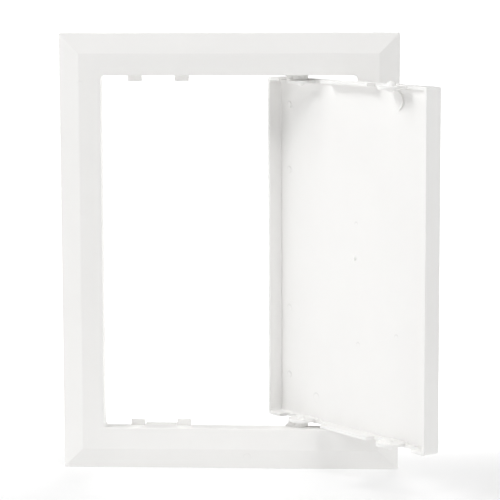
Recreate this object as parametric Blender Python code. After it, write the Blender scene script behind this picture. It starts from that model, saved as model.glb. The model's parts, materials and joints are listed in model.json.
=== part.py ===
"""Plastic access panel: a bevelled frame and a tray-shaped door that turns on two of its four snap lugs.

The frame stands in the XZ plane, with its face towards -Y and its back on the wall plane y = 0.
The origin is the middle of the opening on that plane. The door is modelled shut and then swung
open about its hinge axis. All sizes are in metres.
"""
import math

import bmesh
import bpy
from mathutils import Matrix

# Frame: outline, face and mounting collar
FRAME_WIDTH = 0.168
FRAME_HEIGHT = 0.218
FACE_HEIGHT = 0.005
EDGE_HEIGHT = 0.0013
BEVEL_WIDTH = 0.0101
BORDER_WIDTH = 0.0208
FRAME_WALL = 0.0018
LAND_WIDTH = 0.0026
EDGE_ROUNDING = 0.0004
LIP_ROUNDING = 0.0005
OUTER_CORNER = 0.0008
CREASE_CORNER = 0.0003
OPENING_CORNER = 0.002
JAMB_DEPTH = 0.0093
JAMB_WALL = 0.0016
COLLAR_SETBACK = 0.0009
COLLAR_DEPTH = 0.015
COLLAR_WALL = 0.0016
COLLAR_CORNER = 0.0022
COLLAR_LEAD = 0.0006

# Stiffening ribs on the back of the frame
RIB_THICKNESS = 0.0012
RIB_PITCH = 0.036
INNER_RIB_DEPTH = 0.006
RIB_BITE = 0.0005

# Door: a shallow tray
DOOR_GAP = 0.0013
DOOR_END_GAP = 0.002
DOOR_DEPTH = 0.0091
DOOR_SKIN = 0.0018
RIM_WALL = 0.0016
DOOR_CORNER = 0.0013
DOOR_EDGE_ROUNDING = 0.0005
RIM_EDGE_ROUNDING = 0.0002
FLOOR_FILLET = 0.0006
RIM_DRAFT = 0.00008

# Snap lugs: one near each end of the door's top and bottom rims
LUG_INSET = 0.028
PIVOT_DEPTH = 0.0083
TONGUE_RADIUS = 0.0065
TONGUE_THICKNESS = 0.0016
TONGUE_SETBACK = 0.0006
TONGUE_ROUNDING = 0.0004
BUMP_RADIUS = 0.0026
BUMP_SINK = 0.0003
NOTCH_HALF_WIDTH = 0.017
NOTCH_DEPTH = 0.005
NOTCH_RUN_OUT = 0.003

# Keepers on the frame's jambs
RUNNING_CLEARANCE = 0.0003
SOCKET_WALL = 0.00075
SOCKET_ROOF = 0.0012
GUSSET_REACH = 0.0081
GUSSET_TOP_REACH = 0.006
GUSSET_HEIGHT = 0.0022
TAB_WIDTH = 0.007
TAB_SPACING = 0.0233
TAB_HEIGHT = 0.0032
TAB_THICKNESS = 0.0016
TAB_ROUNDING = 0.0003
SHELF_DEPTH = 0.0036
RIDGE_HEIGHT = 0.0005
RIDGE_THICKNESS = 0.0009

# Marks that moulding leaves inside the door
PAD_RADIUS = 0.0044
PAD_HEIGHT = 0.001
PAD_OFFSET = 0.0026
PAD_RIM_DISTANCE = 0.008
PIN_MARK_RADIUS = 0.0016
PIN_MARK_HEIGHT = 0.00025
PIN_MARK_SIDE_DISTANCE = 0.0085
PIN_MARK_SHARES = (0.84, 0.46, -0.355, -0.755)
GATE_RADIUS = 0.0013
GATE_TIP_RADIUS = 0.0007
GATE_HEIGHT = 0.0009
MARK_SINK = 0.0005

OPEN_ANGLE = math.radians(128.7)
CORNER_STEPS = 5
ROUND_SEGMENTS = 32
BUMP_SEGMENTS = 24
BUMP_RINGS = 12
SHARP_ANGLE = math.radians(28)

# Worked out from the sizes above
COLLAR_WIDTH = FRAME_WIDTH - 2 * (BEVEL_WIDTH + COLLAR_SETBACK)
COLLAR_HEIGHT = FRAME_HEIGHT - 2 * (BEVEL_WIDTH + COLLAR_SETBACK)
OPENING_HALF_WIDTH = FRAME_WIDTH / 2 - BORDER_WIDTH
OPENING_HALF_HEIGHT = FRAME_HEIGHT / 2 - BORDER_WIDTH
DOOR_HALF_WIDTH = OPENING_HALF_WIDTH - DOOR_GAP
DOOR_HALF_HEIGHT = OPENING_HALF_HEIGHT - DOOR_END_GAP
FACE_Y = -FACE_HEIGHT
PLATE_BACK_Y = FACE_Y + FRAME_WALL
JAMB_REAR_Y = FACE_Y + JAMB_DEPTH
DOOR_REAR_Y = FACE_Y + DOOR_DEPTH
DOOR_FLOOR_Y = FACE_Y + DOOR_SKIN
LUG_X = OPENING_HALF_WIDTH - LUG_INSET
PIVOT_Y = FACE_Y + PIVOT_DEPTH
TONGUE_OUTER_Z = DOOR_HALF_HEIGHT - TONGUE_SETBACK
SIGNS = (-1, 1)


def new_collection(name):
    """A collection of that name, linked to the scene."""
    collection = bpy.data.collections.new(name)
    bpy.context.scene.collection.children.link(collection)
    return collection


def new_object(name, bm, collection):
    """An object from a bmesh, with its faces turned outwards."""
    bmesh.ops.recalc_face_normals(bm, faces=bm.faces)
    mesh = bpy.data.meshes.new(name)
    bm.to_mesh(mesh)
    bm.free()
    obj = bpy.data.objects.new(name, mesh)
    collection.objects.link(obj)
    return obj


def rounded_rectangle(half_width, half_height, radius, y):
    """Points round a rectangle with round corners, at one depth."""
    points = []
    for corner in range(4):
        across = 1 if corner in (0, 3) else -1
        up = 1 if corner in (0, 1) else -1
        for step in range(CORNER_STEPS + 1):
            angle = math.pi / 2 * (corner + step / CORNER_STEPS)
            x = across * (half_width - radius) + radius * math.cos(angle)
            z = up * (half_height - radius) + radius * math.sin(angle)
            points.append((x, y, z))
    return points


def loft(bm, rings, closed):
    """Skins a row of rings; a closed row joins its last ring to its first, an open one gets end caps."""
    rows = [[bm.verts.new(point) for point in ring] for ring in rings]
    count = len(rows[0])
    following = rows[1:] + rows[:1] if closed else rows[1:]
    for row, after in zip(rows, following):
        for i in range(count):
            j = (i + 1) % count
            bm.faces.new((row[i], row[j], after[j], after[i]))
    if not closed:
        bm.faces.new(rows[0])
        bm.faces.new(rows[-1])


def round_edges(bm, faces, width, segments=2):
    """Rounds every edge of one body in a bmesh."""
    edges = {edge for face in faces for edge in face.edges}
    bmesh.ops.bevel(bm, geom=list(edges), offset=width, segments=segments, profile=0.5, affect="EDGES")


def add_block(bm, low, high, rounding=0.0):
    """A box between two corners, in either order along each axis."""
    size = [abs(high[axis] - low[axis]) for axis in range(3)]
    middle = [(high[axis] + low[axis]) / 2 for axis in range(3)]
    matrix = Matrix.Translation(middle) @ Matrix.Diagonal((*size, 1))
    verts = bmesh.ops.create_cube(bm, size=1, matrix=matrix)["verts"]
    if rounding:
        round_edges(bm, {face for vert in verts for face in vert.link_faces}, rounding)


def add_round(bm, centre, radius, height, axis, end_radius=None):
    """A cylinder or a cone frustum from a centre along Y or Z; a negative height runs the other way."""
    turn = Matrix.Rotation(math.radians(-90), 4, "X") if axis == "Y" else Matrix.Identity(4)
    offset = Matrix.Translation((0, 0, height / 2))
    flip = Matrix.Rotation(math.pi, 4, "X") if height < 0 else Matrix.Identity(4)
    bmesh.ops.create_cone(
        bm, cap_ends=True, segments=ROUND_SEGMENTS, radius1=radius,
        radius2=radius if end_radius is None else end_radius, depth=abs(height),
        matrix=Matrix.Translation(centre) @ turn @ offset @ flip)


def add_prism(bm, outline, travel, rounding=0.0):
    """A flat outline of 3-D points, extruded along a vector."""
    face = bm.faces.new([bm.verts.new(point) for point in outline])
    sweep = bmesh.ops.extrude_face_region(bm, geom=[face])["geom"]
    moved = [item for item in sweep if isinstance(item, bmesh.types.BMVert)]
    bmesh.ops.translate(bm, verts=moved, vec=travel)
    if rounding:
        faces = {linked for vert in moved for linked in vert.link_faces} | {face}
        bmesh.ops.recalc_face_normals(bm, faces=list(faces))
        round_edges(bm, faces, rounding)


def combine(target, tool, operation):
    """Joins a hidden tool to a piece, or cuts it out."""
    modifier = target.modifiers.new(tool.name, "BOOLEAN")
    modifier.operation = operation
    modifier.object = tool
    modifier.solver = "EXACT"
    tool.hide_render = True
    tool.display_type = "WIRE"


def frame_ring(inset, y, radius):
    """A ring at a distance in from the frame's outer edge."""
    return rounded_rectangle(FRAME_WIDTH / 2 - inset, FRAME_HEIGHT / 2 - inset, radius, y)


def collar_ring(inward, y, radius):
    """A ring at a distance in from the collar's outer faces."""
    return rounded_rectangle(COLLAR_WIDTH / 2 - inward, COLLAR_HEIGHT / 2 - inward, radius, y)


def bevel_y(inset):
    """Height of the frame's front surface at a distance in from its outer edge."""
    share = min(inset / BEVEL_WIDTH, 1)
    return -EDGE_HEIGHT - share * (FACE_HEIGHT - EDGE_HEIGHT)


def quarter_arc(radius, steps=3):
    """Distances along and across a quarter-round edge, from its first tangent point to its last."""
    for step in range(steps + 1):
        angle = math.pi / 2 * step / steps
        yield radius * math.sin(angle), radius * (1 - math.cos(angle))


def make_frame_body(collection):
    """The frame's moulded section, run round the opening with mitred corners."""
    rings = [frame_ring(0, 0, OUTER_CORNER)]
    for across, along in quarter_arc(EDGE_ROUNDING):
        inset = along
        y = -EDGE_HEIGHT + EDGE_ROUNDING - across
        rings.append(frame_ring(inset, min(y, 0) + (bevel_y(inset) + EDGE_HEIGHT), OUTER_CORNER))
    rings.append(frame_ring(BEVEL_WIDTH, FACE_Y, CREASE_CORNER))
    for along, across in quarter_arc(LIP_ROUNDING):
        inset = BORDER_WIDTH - LIP_ROUNDING + along
        rings.append(frame_ring(inset, FACE_Y + across, OPENING_CORNER))
    jamb_back = BORDER_WIDTH - JAMB_WALL
    rings.append(frame_ring(BORDER_WIDTH, JAMB_REAR_Y, OPENING_CORNER))
    rings.append(frame_ring(jamb_back, JAMB_REAR_Y, OPENING_CORNER + JAMB_WALL))
    rings.append(frame_ring(jamb_back, PLATE_BACK_Y, OPENING_CORNER + JAMB_WALL))
    rings.append(collar_ring(COLLAR_WALL, PLATE_BACK_Y, COLLAR_CORNER))
    rings.append(collar_ring(COLLAR_WALL, COLLAR_DEPTH, COLLAR_CORNER))
    rings.append(collar_ring(COLLAR_LEAD, COLLAR_DEPTH, COLLAR_CORNER + COLLAR_WALL))
    rings.append(collar_ring(0, COLLAR_DEPTH - 2 * COLLAR_LEAD, COLLAR_CORNER + COLLAR_WALL))
    rings.append(collar_ring(0, PLATE_BACK_Y, COLLAR_CORNER + COLLAR_WALL))
    land_back = bevel_y(LAND_WIDTH) + FRAME_WALL
    rings.append(frame_ring(BEVEL_WIDTH, PLATE_BACK_Y, CREASE_CORNER))
    rings.append(frame_ring(LAND_WIDTH, min(land_back, -EDGE_ROUNDING), CREASE_CORNER))
    rings.append(frame_ring(LAND_WIDTH, 0, CREASE_CORNER))
    bm = bmesh.new()
    loft(bm, rings, closed=True)
    return new_object("frame", bm, collection)


def rib_positions(length):
    """Places of evenly spaced ribs along one side, at about the chosen pitch and clear of its corners."""
    count = max(1, round(length / RIB_PITCH) - 1)
    return [length * ((i + 1) / (count + 1) - 0.5) for i in range(count)]


def outer_rib_outline():
    """Section of a rib between the flange's back land and the collar, as inset and depth."""
    collar_inset = (FRAME_WIDTH - COLLAR_WIDTH) / 2
    middle = FRAME_WALL / 2
    land = LAND_WIDTH - RIB_BITE
    return [(land, 0), (land, bevel_y(land) / 2), (BEVEL_WIDTH, FACE_Y + middle),
            (collar_inset + RIB_BITE, FACE_Y + middle), (collar_inset + RIB_BITE, 0)]


def inner_rib_outline():
    """Section of a rib between the collar and the jamb, as inset and depth."""
    low = (FRAME_WIDTH - COLLAR_WIDTH) / 2 + COLLAR_WALL - RIB_BITE
    high = BORDER_WIDTH - JAMB_WALL + RIB_BITE
    front = PLATE_BACK_Y - RIB_BITE
    back = PLATE_BACK_Y + INNER_RIB_DEPTH
    return [(low, front), (high, front), (high, back), (low, back)]


def make_ribs(collection):
    """All the ribs on the frame's back, outside and inside the collar."""
    bm = bmesh.new()
    for outline in (outer_rib_outline(), inner_rib_outline()):
        for side in SIGNS:
            for place in rib_positions(FRAME_HEIGHT):
                points = [(side * (FRAME_WIDTH / 2 - inset), y, place - RIB_THICKNESS / 2) for inset, y in outline]
                add_prism(bm, points, (0, 0, RIB_THICKNESS))
            for place in rib_positions(FRAME_WIDTH):
                points = [(place - RIB_THICKNESS / 2, y, side * (FRAME_HEIGHT / 2 - inset)) for inset, y in outline]
                add_prism(bm, points, (RIB_THICKNESS, 0, 0))
    return new_object("frame_ribs", bm, collection)


def make_keeper_bases(collection):
    """Shelves behind the jamb at the latch lugs, and round hinge bosses at the other pair."""
    bm = bmesh.new()
    half_shelf = (TAB_SPACING - TAB_WIDTH) / 2
    boss_radius = BUMP_RADIUS + RUNNING_CLEARANCE + SOCKET_WALL
    boss_end = TONGUE_OUTER_Z + RUNNING_CLEARANCE
    boss_height = OPENING_HALF_HEIGHT + SOCKET_ROOF - boss_end
    for end in SIGNS:
        low = (-LUG_X - half_shelf, JAMB_REAR_Y - RIB_BITE, end * OPENING_HALF_HEIGHT)
        high = (-LUG_X + half_shelf, JAMB_REAR_Y + SHELF_DEPTH, end * (OPENING_HALF_HEIGHT + JAMB_WALL))
        add_block(bm, low, high)
        add_round(bm, (LUG_X, PIVOT_Y, end * boss_end), boss_radius, end * boss_height, "Z")
    return new_object("keeper_bases", bm, collection)


def make_keeper_details(collection):
    """Tabs beside each latch lug, the ridge behind it, and the gusset of each hinge boss."""
    bm = bmesh.new()
    root = OPENING_HALF_HEIGHT + RIB_BITE
    front = JAMB_REAR_Y - TAB_THICKNESS
    half_ridge = (TAB_SPACING - TAB_WIDTH) / 2 - TAB_ROUNDING
    for end in SIGNS:
        for side in SIGNS:
            middle = -LUG_X + side * TAB_SPACING / 2
            tip = end * (OPENING_HALF_HEIGHT - TAB_HEIGHT)
            add_block(bm, (middle - TAB_WIDTH / 2, front, tip),
                      (middle + TAB_WIDTH / 2, JAMB_REAR_Y - RIB_BITE / 2, end * root), TAB_ROUNDING)
        back = JAMB_REAR_Y + SHELF_DEPTH - RIB_BITE / 2
        crest = end * (OPENING_HALF_HEIGHT - RIDGE_HEIGHT)
        add_block(bm, (-LUG_X - half_ridge, back - RIDGE_THICKNESS, crest), (-LUG_X + half_ridge, back, end * root))
        outline = [(LUG_X - GUSSET_REACH, end * root), (LUG_X - GUSSET_REACH, end * OPENING_HALF_HEIGHT),
                   (LUG_X - GUSSET_TOP_REACH, end * (OPENING_HALF_HEIGHT - GUSSET_HEIGHT)),
                   (LUG_X - BUMP_RADIUS - RUNNING_CLEARANCE - RIB_BITE, end * (OPENING_HALF_HEIGHT - GUSSET_HEIGHT)),
                   (LUG_X - BUMP_RADIUS - RUNNING_CLEARANCE - RIB_BITE, end * root)]
        add_prism(bm, [(x, front, z) for x, z in outline], (0, TAB_THICKNESS - RIB_BITE / 2, 0))
    return new_object("keeper_details", bm, collection)


def make_sockets(collection):
    """The blind holes that the hinge lugs' bumps turn in."""
    bm = bmesh.new()
    mouth = TONGUE_OUTER_Z - RUNNING_CLEARANCE
    blind_end = TONGUE_OUTER_Z + BUMP_RADIUS - BUMP_SINK + RUNNING_CLEARANCE
    for end in SIGNS:
        add_round(bm, (LUG_X, PIVOT_Y, end * mouth), BUMP_RADIUS + RUNNING_CLEARANCE, end * (blind_end - mouth), "Z")
    return new_object("sockets", bm, collection)


def make_frame(part, tools):
    """The whole frame as one moulding."""
    frame = make_frame_body(part)
    combine(frame, make_ribs(tools), "UNION")
    combine(frame, make_keeper_bases(tools), "UNION")
    combine(frame, make_keeper_details(tools), "UNION")
    combine(frame, make_sockets(tools), "DIFFERENCE")
    return frame


def door_ring(inset, y, radius):
    """A ring at a distance in from the door's outer faces, with the draft that opens towards the back."""
    draft = RIM_DRAFT * (DOOR_REAR_Y - y) / DOOR_DEPTH
    return rounded_rectangle(DOOR_HALF_WIDTH - inset - draft, DOOR_HALF_HEIGHT - inset - draft, radius, y)


def make_tray(collection):
    """The door's tray: front skin, four rims and the fillet round its floor."""
    rings = []
    for along, across in quarter_arc(DOOR_EDGE_ROUNDING):
        rings.append(door_ring(DOOR_EDGE_ROUNDING - along, FACE_Y + across, DOOR_CORNER))
    rings.append(door_ring(0, DOOR_REAR_Y - RIM_EDGE_ROUNDING, DOOR_CORNER))
    rings.append(door_ring(RIM_EDGE_ROUNDING, DOOR_REAR_Y, DOOR_CORNER))
    inner_corner = DOOR_CORNER
    rings.append(door_ring(RIM_WALL - RIM_EDGE_ROUNDING, DOOR_REAR_Y, inner_corner))
    rings.append(door_ring(RIM_WALL, DOOR_REAR_Y - RIM_EDGE_ROUNDING, inner_corner))
    for along, across in quarter_arc(FLOOR_FILLET):
        rings.append(door_ring(RIM_WALL + across, DOOR_FLOOR_Y + FLOOR_FILLET - along, inner_corner))
    bm = bmesh.new()
    loft(bm, rings, closed=False)
    return new_object("door", bm, collection)


def make_notches(collection):
    """Cutters for the rim's gaps, which pass over the frame's tabs and leave the tongues free."""
    bm = bmesh.new()
    for side in SIGNS:
        for end in SIGNS:
            low = (side * LUG_X - NOTCH_HALF_WIDTH, DOOR_REAR_Y - NOTCH_DEPTH,
                   end * (DOOR_HALF_HEIGHT - RIM_WALL - NOTCH_RUN_OUT))
            high = (side * LUG_X + NOTCH_HALF_WIDTH, DOOR_REAR_Y + NOTCH_RUN_OUT,
                    end * (DOOR_HALF_HEIGHT + NOTCH_RUN_OUT))
            add_block(bm, low, high)
    return new_object("rim_notches", bm, collection)


def make_tongues(collection):
    """The sprung tongues: flat fingers from the floor, each with a round end about its lug's axis."""
    bm = bmesh.new()
    steps = ROUND_SEGMENTS // 2
    for side in SIGNS:
        for end in SIGNS:
            outline = [(side * LUG_X - TONGUE_RADIUS, DOOR_FLOOR_Y - MARK_SINK),
                       (side * LUG_X + TONGUE_RADIUS, DOOR_FLOOR_Y - MARK_SINK)]
            for step in range(steps + 1):
                angle = math.pi * step / steps
                outline.append((side * LUG_X + TONGUE_RADIUS * math.cos(angle),
                                PIVOT_Y + TONGUE_RADIUS * math.sin(angle)))
            points = [(x, y, end * TONGUE_OUTER_Z) for x, y in outline]
            add_prism(bm, points, (0, 0, -end * TONGUE_THICKNESS), TONGUE_ROUNDING)
    return new_object("tongues", bm, collection)


def make_bumps_and_marks(collection):
    """The lugs' round bumps, and the pads, pin marks and gate stub that moulding leaves on the floor."""
    bm = bmesh.new()
    sunk_y = DOOR_FLOOR_Y - MARK_SINK
    for side in SIGNS:
        for end in SIGNS:
            centre = (side * LUG_X, PIVOT_Y, end * (TONGUE_OUTER_Z - BUMP_SINK))
            bmesh.ops.create_uvsphere(
                bm, u_segments=BUMP_SEGMENTS, v_segments=BUMP_RINGS, radius=BUMP_RADIUS,
                matrix=Matrix.Translation(centre))
    pad = (PAD_OFFSET - LUG_X, sunk_y, DOOR_HALF_HEIGHT - PAD_RIM_DISTANCE)
    add_round(bm, pad, PAD_RADIUS, PAD_HEIGHT + MARK_SINK, "Y")
    for share in PIN_MARK_SHARES:
        place = (DOOR_HALF_WIDTH - PIN_MARK_SIDE_DISTANCE, sunk_y, share * DOOR_HALF_HEIGHT)
        add_round(bm, place, PIN_MARK_RADIUS, PIN_MARK_HEIGHT + MARK_SINK, "Y")
    add_round(bm, (0, sunk_y, 0), GATE_RADIUS, GATE_HEIGHT + MARK_SINK, "Y", GATE_TIP_RADIUS)
    return new_object("bumps_and_marks", bm, collection)


def make_door(part, tools):
    """The whole door as one moulding, hung on an empty that lies on the hinge axis."""
    door = make_tray(part)
    combine(door, make_notches(tools), "DIFFERENCE")
    combine(door, make_tongues(tools), "UNION")
    combine(door, make_bumps_and_marks(tools), "UNION")
    axis = bpy.data.objects.new("hinge_axis", None)
    axis.location = (LUG_X, PIVOT_Y, 0)
    axis.rotation_euler = (0, 0, OPEN_ANGLE)
    part.objects.link(axis)
    door.parent = axis
    door.location = (-LUG_X, -PIVOT_Y, 0)
    for tool in tools.objects:
        if tool.name in ("rim_notches", "tongues", "bumps_and_marks"):
            tool.parent = axis
            tool.location = door.location
    return door


def white_plastic(name, color, roughness):
    """A moulded white plastic."""
    material = bpy.data.materials.new(name)
    material.use_nodes = True
    shader = material.node_tree.nodes["Principled BSDF"]
    shader.inputs["Base Color"].default_value = (*color, 1)
    shader.inputs["Roughness"].default_value = roughness
    shader.inputs["Metallic"].default_value = 0
    return material


def finish(obj, material):
    """Gives a piece its material and smooth shading on its rounds."""
    obj.data.materials.append(material)
    obj.data.shade_smooth()
    obj.data.set_sharp_from_angle(angle=SHARP_ANGLE)


def main():
    for obj in list(bpy.data.objects):
        bpy.data.objects.remove(obj)
    part = new_collection("access_panel")
    tools = new_collection("cutters")
    frame = make_frame(part, tools)
    door = make_door(part, tools)
    finish(frame, white_plastic("frame_plastic", (0.86, 0.86, 0.85), 0.4))
    finish(door, white_plastic("door_plastic", (0.88, 0.88, 0.87), 0.4))


main()
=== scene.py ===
"""Looks of the plastic access panel: white moulded plastic, soft light and the photograph's camera."""
import json
import math

import bpy
from mathutils import Matrix, Vector


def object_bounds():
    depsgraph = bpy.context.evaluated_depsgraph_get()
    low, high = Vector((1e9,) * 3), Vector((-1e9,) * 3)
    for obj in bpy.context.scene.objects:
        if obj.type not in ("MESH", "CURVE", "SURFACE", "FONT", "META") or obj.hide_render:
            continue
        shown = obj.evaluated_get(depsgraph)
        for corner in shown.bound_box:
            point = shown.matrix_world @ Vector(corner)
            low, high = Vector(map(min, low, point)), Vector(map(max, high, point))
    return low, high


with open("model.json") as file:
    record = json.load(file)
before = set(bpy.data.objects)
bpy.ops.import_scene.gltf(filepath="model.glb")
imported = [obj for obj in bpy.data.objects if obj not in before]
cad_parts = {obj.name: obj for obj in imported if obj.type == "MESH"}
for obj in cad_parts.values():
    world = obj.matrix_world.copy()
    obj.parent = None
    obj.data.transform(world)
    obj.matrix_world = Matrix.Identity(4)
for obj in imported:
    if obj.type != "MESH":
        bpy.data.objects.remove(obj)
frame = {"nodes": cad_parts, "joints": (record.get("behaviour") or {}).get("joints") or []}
cad_low, cad_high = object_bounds()

# The door at rest: how far it stands open, and a point on the line that it swings on
OPEN_ANGLE = math.radians(128.7)
HINGE = next(joint for joint in frame["joints"] if joint["name"] == "door_hinge")["pos_m"]

# Camera of the photograph, with lens and sensor in millimetres
CAMERA_PLACE = (0.0708, -1.0915, 0.1424)
CAMERA_PITCH = math.radians(82.65)
CAMERA_ROLL = math.radians(0.18)
CAMERA_YAW = math.radians(3.16)
CAMERA_LENS = 159.7
CAMERA_SENSOR = 36

# Colour of each moulding
FRAME_COLOR = (0.93, 0.923, 0.908)
DOOR_COLOR = (0.93, 0.924, 0.91)
PLASTIC_IOR = 1.5

# Size of each pattern's features in metres. The polishing lines are drawn out along the part's height.
CLOUD_SIZE = 0.034
WAVE_SIZE = 0.019
SPECK_SPACING = 0.009
DRIFT_SIZE = 0.007
STREAK_SIZE = 0.0016
STREAK_STRETCH = (1, 1, 0.05)
GRAIN_SIZE = 0.00035

# Most that each pattern shifts the plastic's colour either way, as a share of it
CLOUD_SHADE = 0.016
DRIFT_SHADE = 0.008
GRAIN_SHADE = 0.005

# How much a speck darkens the plastic, and where it starts to fade and ends, as shares of the spacing
SPECK_SHADE = 0.10
SPECK_CORE = 0.012
SPECK_EDGE = 0.022

# Roughness of the plastic: its range over the clouds, and the most that finer patterns shift it either way
ROUGHNESS_LOW = 0.33
ROUGHNESS_HIGH = 0.43
STREAK_ROUGHNESS = 0.035
DRIFT_ROUGHNESS = 0.03

# Height of each pattern's relief, in metres
WAVE_RELIEF = 0.00005
GRAIN_RELIEF = 0.000008
STREAK_RELIEF = 0.0000015
MARK_RELIEF = 0.00006

# Marks that ejector pins and gates leave, as across, depth, up and radius in metres, with the door shut.
# Each centre lies a little off its own face, so that its ring doesn't reach the face behind it.
FRAME_MARKS = (
    (-0.0733, -0.0053, 0.0841, 0.0014),
    (0.0086, -0.0044, -0.1029, 0.002),
)
DOOR_MARKS = (
    (0.0534, -0.0029, 0.0724, 0.0016),
    (0.0534, -0.0029, 0.0397, 0.0016),
    (0.0534, -0.0029, -0.0306, 0.0016),
    (0.0534, -0.0029, -0.0651, 0.0016),
    (-0.001, -0.0029, 0.0168, 0.0012),
    (-0.0027, -0.0029, -0.0422, 0.0012),
    (-0.0321, -0.0029, -0.0347, 0.0014),
    (0.0309, -0.0014, -0.0737, 0.0029),
)

# How much painted shade a mark's line puts on each moulding, and how far its line fades out either way, in
# metres
FRAME_MARK_PAINTED_SHADE = 0.04
DOOR_MARK_PAINTED_SHADE = 0.12
MARK_LINE = 0.0005

# Painted shade that leans to a mark's upper side: the strength of its lower side, and how many radii below
# its centre the upper side starts to gain
MARK_FAINTEST = 0.1
MARK_LEAN_START = 0.5

# Floor: half its width, its distance below the part, and the size of its faint clouds, in metres
FLOOR_HALF = 30.0
FLOOR_GAP = 0.0002
FLOOR_CLOUD_SIZE = 0.3
FLOOR_TONE_LOW = 0.5
FLOOR_TONE_HIGH = 0.52
FLOOR_ROUGHNESS = 0.9

# Light that the floor gives off: near the part, what is added close round it, and far away or behind it
FLOOR_GLOW_NEAR = 0.17
FLOOR_GLOW_MORE = 0.31
FLOOR_GLOW_FAR = 1.1

# Where each of those changes, from and to, in metres: close round the part, far away, and behind it
FLOOR_CLOSE = (0.06, 0.52)
FLOOR_DISTANT = (1.5, 5)
FLOOR_BEHIND = (-0.02, 0.25)

# Light of the room near the horizon and overhead, and the sines of the elevations that it changes between
WORLD_GLOW_LOW = 1.05
WORLD_GLOW_HIGH = 0.05
WORLD_CHANGE = (0.02, 0.14)

WHITE = (1, 1, 1, 1)

# Distance of a softbox in metres, and its side as a share of that distance
FAR = 4.0
NEAR = 2.0
COMPACT = 0.3125
BROAD = 0.75


def add(tree, kind, **settings):
    """A shader node with its properties set."""
    node = tree.nodes.new(kind)
    for name, value in settings.items():
        setattr(node, name, value)
    return node


def noise(tree, place, size, detail=2.0, roughness=0.5, stretch=None):
    """A noise pattern whose features are about one size across, in metres."""
    texture = add(tree, "ShaderNodeTexNoise")
    texture.inputs["Scale"].default_value = 1 / size
    texture.inputs["Detail"].default_value = detail
    texture.inputs["Roughness"].default_value = roughness
    if stretch is not None:
        scaled = add(tree, "ShaderNodeVectorMath", operation="MULTIPLY")
        tree.links.new(place, scaled.inputs[0])
        scaled.inputs[1].default_value = stretch
        place = scaled.outputs[0]
    tree.links.new(place, texture.inputs["Vector"])
    return texture.outputs["Fac"]


def remap(tree, value, low, high, from_low=0.0, from_high=1.0, smooth=False):
    """A value carried from one range to another."""
    node = add(tree, "ShaderNodeMapRange", interpolation_type="SMOOTHSTEP" if smooth else "LINEAR")
    tree.links.new(value, node.inputs["Value"])
    node.inputs["From Min"].default_value = from_low
    node.inputs["From Max"].default_value = from_high
    node.inputs["To Min"].default_value = low
    node.inputs["To Max"].default_value = high
    return node.outputs["Result"]


def swing(tree, pattern, most):
    """A pattern carried to a shift of up to the most either way."""
    return remap(tree, pattern, -most, most)


def arithmetic(tree, operation, first, second):
    """One operation on two values, each a socket or a number."""
    node = add(tree, "ShaderNodeMath", operation=operation)
    for socket, value in zip(node.inputs, (first, second)):
        if isinstance(value, (int, float)):
            socket.default_value = value
        else:
            tree.links.new(value, socket)
    return node.outputs[0]


def add_up(tree, *values):
    """The sum of several values, each a socket or a number."""
    total = values[0]
    for value in values[1:]:
        total = arithmetic(tree, "ADD", total, value)
    return total


def component(tree, place, axis):
    """One of a place's three coordinates."""
    parts = add(tree, "ShaderNodeSeparateXYZ")
    tree.links.new(place, parts.inputs[0])
    return parts.outputs[axis]


def closed_place(tree, place):
    """Turns points of the open door back to where they are when it is shut."""
    back = Matrix.Rotation(-OPEN_ANGLE, 4, "Z")
    pivot = Vector(HINGE)
    node = add(tree, "ShaderNodeMapping", vector_type="POINT")
    node.inputs["Location"].default_value = pivot - back @ pivot
    node.inputs["Rotation"].default_value = (0, 0, -OPEN_ANGLE)
    tree.links.new(place, node.inputs["Vector"])
    return node.outputs["Vector"]


def pin_rings_with_painted_shade(tree, place, marks):
    """Rings that pins leave on the plastic, carrying painted shade, each deepest and darkest on its upper
    side.
    """
    height = component(tree, place, "Z")
    rings_and_painted_shade = None
    for across, depth, up, radius in marks:
        away = add(tree, "ShaderNodeVectorMath", operation="DISTANCE")
        tree.links.new(place, away.inputs[0])
        away.inputs[1].default_value = (across, depth, up)
        past_ring = arithmetic(tree, "SUBTRACT", away.outputs["Value"], radius)
        off_ring = arithmetic(tree, "ABSOLUTE", past_ring, 0)
        ring = remap(tree, off_ring, 1, 0, 0, MARK_LINE, smooth=True)
        # Painted shade: each ring's darkening, and its relief with it, grows from its lower side to its upper
        # side.
        painted_shade_start = up - MARK_LEAN_START * radius
        painted_shade_lean = remap(tree, height, MARK_FAINTEST, 1, painted_shade_start, up + radius, smooth=True)
        ring_and_painted_shade = arithmetic(tree, "MULTIPLY", ring, painted_shade_lean)
        rings_and_painted_shade = ring_and_painted_shade if rings_and_painted_shade is None else arithmetic(tree, "MAXIMUM", rings_and_painted_shade, ring_and_painted_shade)
    return rings_and_painted_shade


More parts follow.
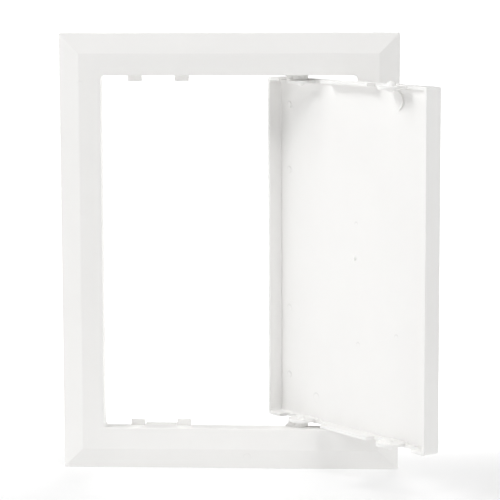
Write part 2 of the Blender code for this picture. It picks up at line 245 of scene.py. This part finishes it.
def moulded_plastic(name, color, marks, mark_painted_shade, turned):
    """Satin white plastic with flow clouds, slow waves, polishing lines, fine grain, specks, and pin marks
    with painted shade.
    """
    material = bpy.data.materials.new(name)
    material.use_nodes = True
    tree = material.node_tree
    shader = tree.nodes["Principled BSDF"]
    place = add(tree, "ShaderNodeTexCoord").outputs["Object"]
    if turned:
        place = closed_place(tree, place)

    clouds = noise(tree, place, CLOUD_SIZE, detail=3)
    drifts = noise(tree, place, DRIFT_SIZE, detail=4, roughness=0.6)
    streaks = noise(tree, place, STREAK_SIZE, detail=2, stretch=STREAK_STRETCH)
    grain = noise(tree, place, GRAIN_SIZE, detail=3, roughness=0.65)
    waves = noise(tree, place, WAVE_SIZE, detail=1)
    specks = add(tree, "ShaderNodeTexVoronoi", feature="F1")
    specks.inputs["Scale"].default_value = 1 / SPECK_SPACING
    tree.links.new(place, specks.inputs["Vector"])
    dirt = remap(tree, specks.outputs["Distance"], -SPECK_SHADE, 0, SPECK_CORE, SPECK_EDGE, smooth=True)
    rings_and_painted_shade = pin_rings_with_painted_shade(tree, place, marks)

    shade = add_up(tree, swing(tree, clouds, CLOUD_SHADE), swing(tree, drifts, DRIFT_SHADE),
                   swing(tree, grain, GRAIN_SHADE), dirt, 1.0)
    # Painted shade along the pin rings darkens the colour.
    shade = arithmetic(tree, "SUBTRACT", shade, arithmetic(tree, "MULTIPLY", rings_and_painted_shade, mark_painted_shade))
    tinted = add(tree, "ShaderNodeVectorMath", operation="SCALE")
    tinted.inputs[0].default_value = color
    tree.links.new(shade, tinted.inputs["Scale"])
    tree.links.new(tinted.outputs[0], shader.inputs["Base Color"])

    roughness = add_up(tree, remap(tree, clouds, ROUGHNESS_LOW, ROUGHNESS_HIGH),
                       swing(tree, streaks, STREAK_ROUGHNESS), swing(tree, drifts, DRIFT_ROUGHNESS))
    tree.links.new(roughness, shader.inputs["Roughness"])

    relief = add_up(tree, remap(tree, grain, 0, GRAIN_RELIEF), remap(tree, waves, 0, WAVE_RELIEF),
                    remap(tree, streaks, 0, STREAK_RELIEF),
                    arithmetic(tree, "MULTIPLY", rings_and_painted_shade, MARK_RELIEF))
    bump = add(tree, "ShaderNodeBump")
    bump.inputs["Strength"].default_value = 1.0
    bump.inputs["Distance"].default_value = 1.0
    tree.links.new(relief, bump.inputs["Height"])
    tree.links.new(bump.outputs["Normal"], shader.inputs["Normal"])

    shader.inputs["IOR"].default_value = PLASTIC_IOR
    return material


def dress(node_name, material):
    """Puts one material on a whole CAD node."""
    obj = frame["nodes"][node_name]
    obj.data.materials.clear()
    obj.data.materials.append(material)


def floor_paper():
    """Pale matte paper that gives off light, least near the part, so that it stays white far away."""
    material = bpy.data.materials.new("floor_paper")
    material.use_nodes = True
    tree = material.node_tree
    shader = tree.nodes["Principled BSDF"]
    place = add(tree, "ShaderNodeTexCoord").outputs["Object"]

    cloudy = noise(tree, place, FLOOR_CLOUD_SIZE, detail=3)
    tones = add(tree, "ShaderNodeMix", data_type="RGBA")
    tree.links.new(cloudy, tones.inputs["Factor"])
    tones.inputs["A"].default_value = (FLOOR_TONE_LOW, FLOOR_TONE_LOW, FLOOR_TONE_LOW, 1)
    tones.inputs["B"].default_value = (FLOOR_TONE_HIGH, FLOOR_TONE_HIGH, FLOOR_TONE_HIGH, 1)
    tree.links.new(tones.outputs["Result"], shader.inputs["Base Color"])

    away = add(tree, "ShaderNodeVectorMath", operation="LENGTH")
    tree.links.new(place, away.inputs[0])
    distant = remap(tree, away.outputs["Value"], 0, 1, *FLOOR_DISTANT, smooth=True)
    behind = remap(tree, component(tree, place, "Y"), 0, 1, *FLOOR_BEHIND, smooth=True)
    share = arithmetic(tree, "MAXIMUM", distant, behind)
    glow = remap(tree, share, FLOOR_GLOW_NEAR, FLOOR_GLOW_FAR)
    close = remap(tree, away.outputs["Value"], FLOOR_GLOW_MORE, 0, *FLOOR_CLOSE, smooth=True)
    glow = arithmetic(tree, "ADD", glow, close)
    tree.links.new(glow, shader.inputs["Emission Strength"])
    shader.inputs["Emission Color"].default_value = WHITE
    shader.inputs["Roughness"].default_value = FLOOR_ROUGHNESS
    shader.inputs["Specular IOR Level"].default_value = 0.0
    return material


def make_floor():
    """A wide pale floor just under the part."""
    mesh = bpy.data.meshes.new("floor")
    corners = [(-FLOOR_HALF, -FLOOR_HALF, 0), (FLOOR_HALF, -FLOOR_HALF, 0),
               (FLOOR_HALF, FLOOR_HALF, 0), (-FLOOR_HALF, FLOOR_HALF, 0)]
    mesh.from_pydata(corners, [], [(0, 1, 2, 3)])
    mesh.materials.append(floor_paper())
    floor = bpy.data.objects.new("floor", mesh)
    floor.location = (0, 0, cad_low.z - FLOOR_GAP)
    bpy.context.scene.collection.objects.link(floor)


def make_world():
    """A studio that is white near the horizon and dim overhead."""
    world = bpy.data.worlds.new("studio")
    world.use_nodes = True
    tree = world.node_tree
    background = tree.nodes["Background"]
    direction = add(tree, "ShaderNodeTexCoord").outputs["Generated"]
    upward = component(tree, direction, "Z")
    glow = remap(tree, upward, WORLD_GLOW_LOW, WORLD_GLOW_HIGH, *WORLD_CHANGE, smooth=True)
    tree.links.new(glow, background.inputs["Strength"])
    background.inputs["Color"].default_value = WHITE
    bpy.context.scene.world = world


def make_softbox(name, azimuth, elevation, distance, spread, watts):
    """A soft square light that faces the part. Azimuth 0 is in front and 90 on the right."""
    around = math.radians(azimuth)
    above = math.radians(elevation)
    level = math.cos(above)
    out = Vector((math.sin(around) * level, -math.cos(around) * level, math.sin(above)))
    data = bpy.data.lights.new(name, "AREA")
    data.shape = "RECTANGLE"
    data.size = spread * distance
    data.size_y = spread * distance
    data.energy = watts
    light = bpy.data.objects.new(name, data)
    light.location = out * distance
    light.rotation_mode = "QUATERNION"
    light.rotation_quaternion = out.to_track_quat("Z", "Y")
    light.visible_camera = False
    bpy.context.scene.collection.objects.link(light)


def make_lights():
    """Compact softboxes at both sides, overhead and high behind, and broad ones low down and behind."""
    make_softbox("left_key", -60, 35, NEAR, COMPACT, 11.6)
    make_softbox("left_high", -75, 50, NEAR, COMPACT, 5.2)
    make_softbox("left_side", -90, 35, FAR, COMPACT, 11.6)
    make_softbox("left_low", -90, 15, FAR, BROAD, 21.0)
    make_softbox("right_key", 30, 50, FAR, COMPACT, 39.6)
    make_softbox("right_high", 60, 50, FAR, COMPACT, 8.8)
    make_softbox("overhead", 0, 75, FAR, COMPACT, 8.6)
    make_softbox("front_low", 25, 15, FAR, BROAD, 11.4)
    make_softbox("right_low", 90, 15, FAR, BROAD, 28.0)
    make_softbox("back_left", -140, 30, FAR, BROAD, 13.0)
    make_softbox("back_high", 180, 62, FAR, COMPACT, 46.0)


def make_camera():
    """The camera of the photograph."""
    data = bpy.data.cameras.new("camera")
    data.sensor_width = CAMERA_SENSOR
    data.lens = CAMERA_LENS
    camera = bpy.data.objects.new("camera", data)
    camera.location = CAMERA_PLACE
    camera.rotation_euler = (CAMERA_PITCH, CAMERA_ROLL, CAMERA_YAW)
    bpy.context.scene.collection.objects.link(camera)
    bpy.context.scene.camera = camera


frame_plastic = moulded_plastic("frame_plastic_looks", FRAME_COLOR, FRAME_MARKS, FRAME_MARK_PAINTED_SHADE, False)
door_plastic = moulded_plastic("door_plastic_looks", DOOR_COLOR, DOOR_MARKS, DOOR_MARK_PAINTED_SHADE, True)
dress("frame", frame_plastic)
dress("door", door_plastic)
make_floor()
make_world()
make_lights()
make_camera()
bpy.context.scene.view_settings.view_transform = "Standard"
